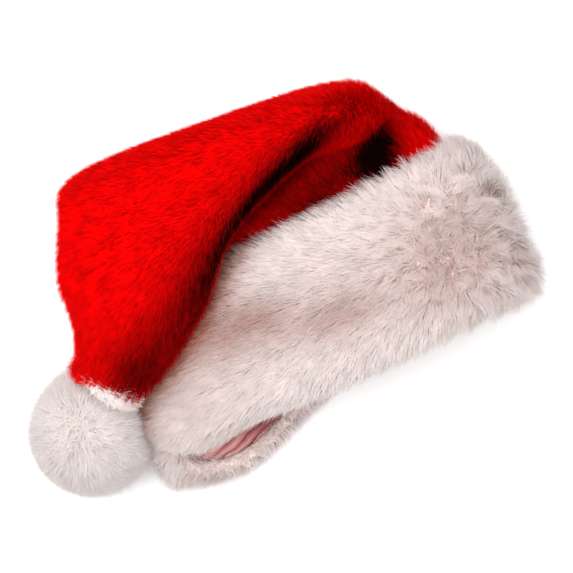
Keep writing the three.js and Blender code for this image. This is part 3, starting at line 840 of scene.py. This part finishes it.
def floor_material(shade):
    """Matt painted board: even, without gloss, with a faint tooth."""
    material, tree = new_material("Matt painted board")
    where = add_node(tree, "ShaderNodeTexCoord")
    tooth = add_node(
        tree, "ShaderNodeTexNoise", values={"Scale": 1 / (2 * MM), "Detail": 2.0},
        links={"Vector": where.outputs["Object"]})
    bump = add_node(
        tree, "ShaderNodeBump", values={"Strength": 0.1, "Distance": 0.1 * MM},
        links={"Height": tooth.outputs["Fac"]})
    shader = add_node(
        tree, "ShaderNodeBsdfPrincipled", values={"Base Color": (*shade, 1), "Roughness": 0.9},
        links={"Normal": bump.outputs["Normal"]})
    add_node(tree, "ShaderNodeOutputMaterial", links={"Surface": shader.outputs["BSDF"]})
    return material


# Operators

def settings(context):
    scene = context.scene
    return HatForm(scene.hat_sizes), scene.hat_pile, scene.hat_colours


def placed(obj, slot, *nodes):
    """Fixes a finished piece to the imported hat."""
    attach(obj, BODY)
    if nodes:
        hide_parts(*nodes)


class HAT_OT_crown(bpy.types.Operator):
    """Make the plush crown: its backing and the short red pile on both halves"""
    bl_idname = "hat.crown"
    bl_label = "Crown"

    around = 120
    wall_parts = (0.0, 0.25, 0.5, 0.75)
    steps = 80
    solid_tip = 1.2
    flat = (0.62, 0.42)
    flat_area = 0.147
    lock = (4.5 * MM, 0.6)
    curl = 0.12
    astray = 0.3
    layers = (("crown_pile", "lower", 11), ("flap_pile", "flap", 12))
    flap_turn = 110

    def execute(self, context):
        form, pile, colours = settings(context)
        angles = form.head_angles(self.around)
        last = len(form.sections) - 1
        places = np.linspace(0, last, self.steps)
        inner_places = np.linspace(0, last - self.solid_tip, self.steps)
        outer = form.crown(0, angles, self.wall_parts, places)
        inner = form.crown(form.sizes.plush_thickness, angles, self.wall_parts, inner_places)
        backing = backing_material(
            "Knitted backing of red polyester plush", colours.red_root, colours.red_tip, patch_mm=3.0)
        bag = shell_mesh("crown_backing", outer, inner, backing)
        placed(bag, "red_plush", "crown")
        self.grow(form, pile, colours, outer, places)
        return {"FINISHED"}

    def grow(self, form, pile, colours, outer, places):
        normals, along = grid_normals(outer)
        material = pile_material(
            "Red polyester plush pile", colours.red_tip, colours.red_root, colours.red_shade,
            through=0.4, patch_mm=9.0, patch_depth=0.2)
        on_wall = np.zeros(len(self.wall_parts))
        turn = np.concatenate([on_wall, [blended(form.sections, place)["turn"] for place in places]])
        free = np.concatenate([on_wall, smooth(places / 0.4)])
        hidden = np.where(normals[..., 2] < -0.3, 0.45, 1.0)
        bare = smooth((form.from_pompom(outer) - form.sizes.pompom_cover) / (2 * MM))
        for name, layer, seed in self.layers:
            rng = np.random.default_rng(seed)
            inside = ((turn >= self.flap_turn) == (layer == "flap")) * free
            roots = Roots(outer, normals, along, pile.crown_count, inside[:, None] * hidden * bare, rng)
            number = len(roots.points)
            turned_by = np.interp(roots.row, np.arange(len(turn)), turn)
            lay = self.lay(form, roots, turned_by, rng)
            rise = between(rng, number, 0.25, 0.7)
            reach = pile.crown_length * between(rng, number, 0.75, 1.25)
            beside_ball = form.from_pompom(roots.points) - form.sizes.pompom_cover
            reach *= 0.5 + 0.5 * smooth(beside_ball / (10 * MM))
            # Painted shade of each strand
            depth = self.depth(form, roots, layer, turned_by, rng)
            grow_pile(
                name, "red_plush", material, roots, lay, rise, reach, pile.crown_width, rng,
                lock=self.lock, curl=self.curl, depth=depth)

    def lay(self, form, roots, turned_by, rng):
        """The way that the pile is combed. At the fold the lower crown's comb goes over into the flap's."""
        over = smooth((turned_by - 20) / 70)[:, None]
        x = roots.points[:, 0] / form.half
        y = (roots.points[:, 1] - form.edge) / form.sizes.crown_rise
        strokes = table_of(COMB_COLUMNS, COMB_ROWS)
        flap = combed([stroke for stroke in strokes if stroke["layer"] == "flap"], x, y)
        lower = combed([stroke for stroke in strokes if stroke["layer"] == "lower"], x, y)
        astray = self.astray * either_way(rng, len(x), 3)
        return on_surface(flap * over + lower * (1 - over) + astray, roots.normals)

    def depth(self, form, roots, layer, turned_by, rng):
        """The pile's painted shade: from the painted shade rows of its own layer where it faces up, and on
        the lower crown also a painted shade by the lie of its pile."""
        painted_shades = [row for row in form.painted_shades if row["layer"] in (layer, "both")]
        faces_up = smooth((roots.normals[:, 2] + 0.1) / 0.5)
        depth = form.sunk_by(painted_shades, roots.points) * faces_up
        if layer == "lower":
            # Painted shade of the lower crown, by the lie of its pile
            nap_shade = 0.46 * bell((roots.points[:, 0] / form.half - 0.3) / 0.45)
            depth = (depth + nap_shade) * (1 - smooth((turned_by - 35) / 40))
        return np.clip(depth * between(rng, len(depth), 0.75, 1.25), 0, 1)


class HAT_OT_cuff(bpy.types.Operator):
    """Make the padded cuff: its backing and the deep white pile on both layers"""
    bl_idname = "hat.cuff"
    bl_label = "Cuff"

    around = 160
    outer_rows = 28

    # The lip from the rim inwards: the face, how far it is turned under as a share of its thickness, and how
    # far it lies from the rim as a share of its breadth
    lip_rows = (
        ("rim", 0.35, 0.0),
        ("lip", 0.8, 0.1),
        ("lip", 1.1, 0.25),
        ("lip", 1.2, 0.45),
        ("lip", 1.15, 0.65),
        ("lip", 0.95, 0.85),
        ("shelf", 0.72, 1.0),
    )

    # What each face does to its pile: how densely it grows, how far it reaches, and how far inside it stands
    face_pile = {
        "outer": (1.0, 1.0, 0.0),
        "rim": (1.2, 0.85, 0.2),
        "lip": (1.2, 0.7, 0.8),
        "shelf": (0.6, 0.3, 1.0),
        "seam": (0.0, 0.2, 1.0),
    }
    areas = (("cuff_pile_left", 1.0, 21), ("cuff_pile_right", 1.0, 22), ("cuff_pile_lower", 0.74, 23))
    lock = (5 * MM, 0.4)
    curl = 0.16
    seam_rows = 2
    seam_density = 0.5
    whorl_across = 0.94
    whorl_along = -3 * MM
    whorl_flatness = 0.35
    whorl_radius = 38 * MM

    def profile(self, form):
        """The cuff's section as rows of face, outward offset, share of the breadth, and distance from the
        rim."""
        sizes = form.sizes

        def curve(angle):
            y = form.edge * signed_power(np.cos(angle), 2 / PAD_SQUARENESS)
            return y, sizes.pad_thickness * np.abs(np.sin(angle)) ** (2 / PAD_SQUARENESS)

        y, offset = curve(even_angles(self.outer_rows, 0.0, math.pi, curve))
        rows = [
            ("outer", max(float(o), sizes.seam_gap), 0.5 + float(v) / sizes.cuff_breadth, None)
            for v, o in zip(y, offset)
        ]
        rows.append(("rim", sizes.seam_gap * 4, 0.0, None))
        for face, turned_under, from_rim in self.lip_rows:
            rows.append((face, -sizes.lip_thickness * turned_under, None, sizes.lip_breadth * from_rim))
        rows += [
            ("shelf", sizes.seam_gap, None, sizes.lip_breadth),
            ("seam", sizes.seam_gap, 0.45, None),
            ("seam", sizes.seam_gap, 0.7, None),
        ]
        return rows

    def surface(self, form, rows, angles):
        sizes = form.sizes
        rim = form.rim(angles)
        upper = smooth(-np.sin(angles) * 2.5)
        rings = []
        for face, offset, part, from_rim in rows:
            y = rim + from_rim if from_rim is not None else rim + (form.edge - rim) * part
            full = offset / sizes.pad_thickness * smooth(0.5 - np.sin(angles)) if face == "outer" else 0.0
            wave = 0.12 * sizes.pad_thickness * np.sin(3 * angles + 9 * y / sizes.cuff_breadth) * full
            ring = form.wall(angles, y, offset + wave)
            if face == "outer":
                ring[:, 2] -= form.cuff_sunk_by(ring, offset) * upper
            ring[:, 2] = np.maximum(ring[:, 2], 0)
            rings.append(ring)
        return np.array(rings)

    def execute(self, context):
        form, pile, colours = settings(context)
        angles = form.head_angles(self.around)
        rows = self.profile(form)
        grid = self.surface(form, rows, angles)
        faces = ring_faces(len(rows), self.around, closed_along=True, flip=True)
        backing = backing_material(
            "Knitted backing of white polyester fur", colours.white_root, colours.white_tip, patch_mm=4.0)
        body = mesh_of("cuff_backing", grid.reshape(-1, 3), faces, backing)
        placed(body, "white_plush", "cuff")
        self.grow(form, pile, colours, rows, grid)
        return {"FINISHED"}

    def grow(self, form, pile, colours, rows, grid):
        normals, along = grid_normals(grid, closed_along=True)
        normals = -normals
        material = pile_material(
            "White polyester fur pile", colours.white_tip, colours.white_root, colours.white_shade,
            through=0.56, patch_mm=14.0, patch_depth=0.06)
        density, long, inside = np.array([self.face_pile[row[0]] for row in rows]).T
        # The pile is thinner beside the seam with the crown
        density[:self.seam_rows] = self.seam_density
        pressed_flat = np.where((grid[..., 2] < 1 * MM) & (normals[..., 2] < -0.9), 0.25, 1.0)
        upper = smooth(0.5 + (grid[..., 2] - form.middle) / (2 * MM))
        right = smooth(0.5 + grid[..., 0] / (2 * MM))
        here = {
            "cuff_pile_left": upper * (1 - right),
            "cuff_pile_right": upper * right,
            "cuff_pile_lower": 1 - upper,
        }
        for name, part, seed in self.areas:
            rng = np.random.default_rng(seed)
            weight = density[:, None] * here[name] * pressed_flat
            roots = Roots(grid, normals, along, int(part * pile.cuff_count), weight, rng, closed_along=True)
            row = roots.row % len(rows)
            roots.long = np.interp(row, np.arange(len(rows)), long)
            roots.turned_in = np.interp(row, np.arange(len(rows)), inside) * (name == "cuff_pile_lower")
            self.grow_area(form, pile, name, roots, material, rng)

    def grow_area(self, form, pile, name, roots, material, rng):
        """The pile of one area. It lies away from a whorl at the cuff's right end, curls there, and falls
        over the cuff's edges. What is turned in at the rim falls over the satin or out past the rim."""
        number = len(roots.points)
        to_right = roots.points[:, 0] / form.half
        across = np.clip(roots.points[:, 1] / form.edge, -1, 1)
        from_whorl = roots.points - np.array([self.whorl_across * form.half, self.whorl_along, form.top])
        from_whorl[:, 2] *= self.whorl_flatness
        near = bell(np.linalg.norm(from_whorl, axis=1) / self.whorl_radius)
        swirl, curl_gap_shade = curls(roots.points)
        astray = 0.35 * either_way(rng, number, 3) + (0.15 + 1.5 * near)[:, None] * swirl
        reach = pile.cuff_length * between(rng, number, 0.7, 1.2) * roots.long
        # At the rim's left corner most of the turned-in pile covers the satin
        covers = smooth((-to_right - 0.66) / 0.15)
        outward = np.where(rng.random(number) < 0.3 + 0.5 * covers, -0.8, 1.0) * roots.turned_in
        reach *= np.where(outward < -0.3, 0.5 + 0.5 * covers, 1.0)
        reach *= 1 + 0.25 * smooth((to_right - 0.95) / 0.15)
        away = unit(from_whorl) * (1 - 0.5 * near[:, None])
        away[:, 1] += 0.9 * np.sign(across) * np.abs(across) ** 4
        away *= 1 - roots.turned_in[:, None]
        lay = on_surface(away + np.array([0.6, -0.8, 0.0]) * outward[:, None] + astray, roots.normals)
        rise = between(rng, number, 0.22, 0.5) + 0.15 * near
        fringe = smooth((across - 0.72) / 0.25) * smooth((1.05 - to_right) / 0.2)
        reach *= 1 - 0.55 * fringe * (rng.random(number) < 0.6)
        depth = self.depth(form, roots, near * curl_gap_shade, rng)
        # Painted shade on the turned-in pile, faint near the rim and most where it is turned in beside the
        # satin
        if name == "cuff_pile_lower":
            depth = 0.1 * roots.turned_in ** 3 * rng.random(number)
        grow_pile(
            name, "white_plush", material, roots, lay, rise, reach, pile.cuff_width, rng,
            lock=self.lock, curl=self.curl, depth=depth)

    def depth(self, form, roots, curl_gap_shade, rng):
        """The pile's painted shade: over the pad's hollows, as the flap's painted shadow beside its edge, and
        between curls.
        """
        painted_shades = [row for row in form.painted_shades if row["layer"] == "cuff"]
        depth = 1.4 * form.cuff_sunk_by(roots.points) + form.sunk_by(painted_shades, roots.points) + 0.32 * curl_gap_shade
        return np.clip(depth * between(rng, len(depth), 0.75, 1.25), 0, 1)


class HAT_OT_pompom(bpy.types.Operator):
    """Make the pompom: its tied core, the pile that stands from it, and the pile over the crown's tip"""
    bl_idname = "hat.pompom"
    bl_label = "Pompom"

    rows = 40
    around = 80
    lock = (4 * MM, 0.35)
    curl = 0.2
    whorl_way = (-0.35, 0.25, 0.8)
    whorl_radius = 16 * MM
    seat_around = 80
    seat_rows = 16
    seat_sections = 1.5
    seat_height = 0.6 * MM

    def execute(self, context):
        form, pile, colours = settings(context)
        polar = np.linspace(0.02, math.pi - 0.02, self.rows)[:, None]
        turn = np.arange(self.around) / self.around * 2 * math.pi
        out = np.stack(np.broadcast_arrays(
            np.sin(polar) * np.cos(turn), np.sin(polar) * np.sin(turn), np.cos(polar)), axis=-1)
        grid = form.pompom + form.ball * out
        top = self.rows * self.around
        poles = [form.pompom + [0, 0, form.ball], form.pompom - [0, 0, form.ball]]
        faces = ring_faces(self.rows, self.around)
        faces += cap_faces(0, self.around, top)
        faces += cap_faces(top - self.around, self.around, top + 1, flip=True)
        backing = backing_material(
            "Tied core of white polyester pile", colours.pompom_root, colours.pompom_tip, patch_mm=4.0)
        points = np.concatenate([grid.reshape(-1, 3), poles])
        core = mesh_of("pompom_core", points, [face[::-1] for face in faces], backing)
        placed(core, "pompom_plush", "pompom")
        material = pile_material(
            "White polyester pompom pile", colours.pompom_tip, colours.pompom_root, colours.white_shade,
            through=0.5, patch_mm=12.0, patch_depth=0.03)
        self.grow(form, pile, grid, out, material)
        self.close_over_tip(form, pile, material, backing)
        return {"FINISHED"}

    def from_whorl(self, form, points):
        """The way from the place on the ball where its pile parts."""
        return points - form.pompom - form.ball * unit(np.array(self.whorl_way))

    def grow(self, form, pile, grid, out, material):
        rng = np.random.default_rng(31)
        tip_gap = np.linalg.norm(grid - form.tip_end, axis=-1)
        weight = smooth((tip_gap - 0.25 * form.sizes.tip_width) / (0.15 * form.ball))
        roots = Roots(grid, out, unit(np.gradient(grid, axis=0)), pile.pompom_count, weight, rng)
        number = len(roots.points)
        away = self.from_whorl(form, roots.points)
        near = bell(np.linalg.norm(away, axis=1, keepdims=True) / self.whorl_radius)
        astray = (0.5 + near) * either_way(rng, number, 3)
        lay = on_surface(0.8 * unit(away) * (1 - near) + astray, roots.normals)
        rise = between(rng, number, 0.6, 1.3) * (1 - 0.5 * near[:, 0])
        reach = pile.pompom_length * between(rng, number, 0.7, 1.15)
        beside_tip = np.linalg.norm(roots.points - form.tip_end, axis=1) - form.sizes.tip_width / 2
        reach *= 1 + 0.3 * bell(beside_tip / (0.3 * form.ball))
        grow_pile(
            "pompom_pile", "pompom_plush", material, roots, lay, rise, reach, pile.pompom_width, rng,
            lock=self.lock, curl=self.curl)

    def close_over_tip(self, form, pile, material, backing):
        """The pompom is sewn over the crown's tip, and its pile goes on there as far as the ball looks
        round."""
        rng = np.random.default_rng(32)
        last = len(form.sections) - 1
        places = np.linspace(last - self.seat_sections, last, self.seat_rows)
        grid = form.crown(0, form.head_angles(self.seat_around), (), places)
        normals, along = grid_normals(grid)
        inside = form.sizes.pompom_cover - form.from_pompom(grid)
        cover = (grid + self.seat_height * normals).reshape(-1, 3)
        near = (inside > 0).ravel()
        faces = [face for face in ring_faces(self.seat_rows, self.seat_around) if near[list(face)].all()]
        seat = mesh_of("pompom_seat", cover, faces, backing)
        seat.data.normals_split_custom_set_from_vertices(unit(cover - form.pompom).tolist())
        placed(seat, "pompom_plush")
        weight = smooth(inside / (3 * MM)) * smooth(0.8 + normals[..., 2])
        roots = Roots(grid, normals, along, pile.pompom_count // 3, weight, rng)
        number = len(roots.points)
        roots.normals = unit(roots.points - form.pompom)
        away = unit(self.from_whorl(form, roots.points))
        lay = on_surface(away + 0.7 * either_way(rng, number, 3), roots.normals)
        rise = between(rng, number, 0.3, 0.8)
        reach = pile.pompom_length * between(rng, number, 0.45, 0.8)
        grow_pile("pompom_fall", "pompom_plush", material, roots, lay, rise, reach, pile.pompom_width, rng)


class HAT_OT_lining(bpy.types.Operator):
    """Make the gathered satin lining inside the crown"""
    bl_idname = "hat.lining"
    bl_label = "Lining"

    around = 240
    flat = (0.62, 0.17)
    flat_area = 0.088

    def gathers(self, angles, parts):
        """How far the satin stands in from the plush: soft folds that start at its sewn edge."""
        fold = 0.5 + 0.5 * np.sin(46 * angles + 2.2 * np.sin(7 * angles))
        pleat = 0.5 + 0.5 * np.sin(19 * angles + 3 * np.sin(3 * angles))
        depth = 2.2 * MM * fold * (0.4 + 0.6 * pleat)
        part = parts[:, None]
        rising = smooth(part / 0.08) * (1 - 0.55 * smooth((part - 0.2) / 0.8))
        return depth * rising

    def press(self, form, mesh):
        """Marks how dark the satin's creases are painted, and how much painted shade falls on it under the
        upper layer: most in the slit at the rim's left end."""
        points = np.empty(len(mesh.vertices) * 3, np.float32)
        mesh.vertices.foreach_get("co", points)
        x, y, z = points.reshape(-1, 3).T
        below = smooth((-y - 35 * MM) / (15 * MM)) * (z < form.middle)
        in_slit = bell((x / form.half + 0.5) / 0.35) * below
        inner = smooth((x + 95 * MM) / (45 * MM)) * smooth((y + 70 * MM) / (8 * MM))
        # Painted shade: pressed sets how dark the creases are painted, and shaded darkens the slit
        point_values(mesh, "pressed", 0.25 + 0.75 * in_slit)
        point_values(mesh, "shaded", 0.85 * in_slit * inner)

    def execute(self, context):
        form, _, colours = settings(context)
        sizes = form.sizes
        angles = form.head_angles(self.around)
        parts = np.concatenate([np.linspace(0.0, 0.16, 8), np.linspace(0.22, 1.0, 10)])
        places = np.linspace(0.15, 1.9, 9)
        inset = sizes.plush_thickness + sizes.seam_gap
        fold = self.gathers(angles, parts)
        shell = []
        for depth in (inset, inset + sizes.lining_thickness):
            rings = [form.wall_ring(depth + gather, angles, part) for gather, part in zip(fold, parts)]
            rings += [form.free_ring(depth, angles, place) for place in places]
            shell.append(np.array(rings))
        satin = satin_material(colours.satin, colours.satin_crease_shade)
        lining = shell_mesh("satin_lining", *shell, satin)
        self.press(form, lining.data)
        placed(lining, "satin_lining", "lining")
        return {"FINISHED"}


class HAT_OT_stage(bpy.types.Operator):
    """Make the pale floor, the soft light and the camera"""
    bl_idname = "hat.stage"
    bl_label = "Stage"

    frame_width = 0.38
    roll = math.radians(-26)
    looks_at = (-0.006, 0.0193, 0.08)
    sensor = 0.036
    lens = 0.15

    # Each light's name, place, size and power, and the room's own light
    lights = (("key", (-0.35, 0.5, 1.7), 0.9, 24.0), ("fill", (0.1, -0.3, 2.2), 1.8, 26.0))
    room_light = 0.74

    def execute(self, context):
        scene = context.scene
        self.floor(scene.hat_colours)
        self.camera(scene)
        for light in self.lights:
            self.light(*light)
        world = bpy.data.worlds.new("Soft white room")
        world.use_nodes = True
        background = world.node_tree.nodes["Background"]
        background.inputs["Color"].default_value = (1, 1, 1, 1)
        background.inputs["Strength"].default_value = self.room_light
        scene.world = world
        scene.view_settings.view_transform = "Standard"
        return {"FINISHED"}

    def floor(self, colours):
        half = 3.0
        mesh = bpy.data.meshes.new("floor")
        corners = [(-half, -half, 0), (half, -half, 0), (half, half, 0), (-half, half, 0)]
        mesh.from_pydata(corners, [], [(0, 1, 2, 3)])
        mesh.materials.append(floor_material(colours.floor))
        floor = bpy.data.objects.new("floor", mesh)
        bpy.context.scene.collection.objects.link(floor)

    def camera(self, scene):
        camera = bpy.data.cameras.new("camera")
        camera.sensor_width = self.sensor / MM
        camera.lens = self.lens / MM
        camera.clip_end = 20
        obj = bpy.data.objects.new("camera", camera)
        distance = self.frame_width * self.lens / self.sensor
        obj.location = Vector(self.looks_at) + Vector((0, 0, distance))
        obj.rotation_euler = (0, 0, self.roll)
        scene.collection.objects.link(obj)
        scene.camera = obj

    def light(self, name, place, size, watts):
        lamp = bpy.data.lights.new(name, "AREA")
        lamp.size = size
        lamp.energy = watts
        obj = bpy.data.objects.new(name, lamp)
        obj.location = place
        aim = Vector(self.looks_at) - obj.location
        obj.rotation_euler = aim.to_track_quat("-Z", "Y").to_euler()
        bpy.context.scene.collection.objects.link(obj)


class HAT_PT_panel(bpy.types.Panel):
    """Lists the hat's sizes, looks and steps"""
    bl_idname = "HAT_PT_panel"
    bl_label = "Santa Hat"
    bl_space_type = "VIEW_3D"
    bl_region_type = "UI"
    bl_category = "Santa Hat"

    def draw(self, context):
        layout = self.layout
        for label, group in (
            ("Sizes", context.scene.hat_sizes),
            ("Pile", context.scene.hat_pile),
            ("Colours", context.scene.hat_colours),
        ):
            box = layout.box()
            box.label(text=label)
            for name in group.__annotations__:
                box.prop(group, name)
        for operator in OPERATORS:
            layout.operator(operator.bl_idname)


OPERATORS = (HAT_OT_lining, HAT_OT_crown, HAT_OT_cuff, HAT_OT_pompom, HAT_OT_stage)
GROUPS = {"hat_sizes": HatSizes, "hat_pile": PileLooks, "hat_colours": HatColours}


def register():
    for cls in (*GROUPS.values(), *OPERATORS, HAT_PT_panel):
        bpy.utils.register_class(cls)
    for name, group in GROUPS.items():
        setattr(bpy.types.Scene, name, bpy.props.PointerProperty(type=group))


def unregister():
    for name in GROUPS:
        delattr(bpy.types.Scene, name)
    for cls in reversed((*GROUPS.values(), *OPERATORS, HAT_PT_panel)):
        bpy.utils.unregister_class(cls)


def main():
    register()
    bpy.ops.hat.lining()
    bpy.ops.hat.crown()
    bpy.ops.hat.cuff()
    bpy.ops.hat.pompom()
    bpy.ops.hat.stage()


if __name__ == "__main__":
    main()
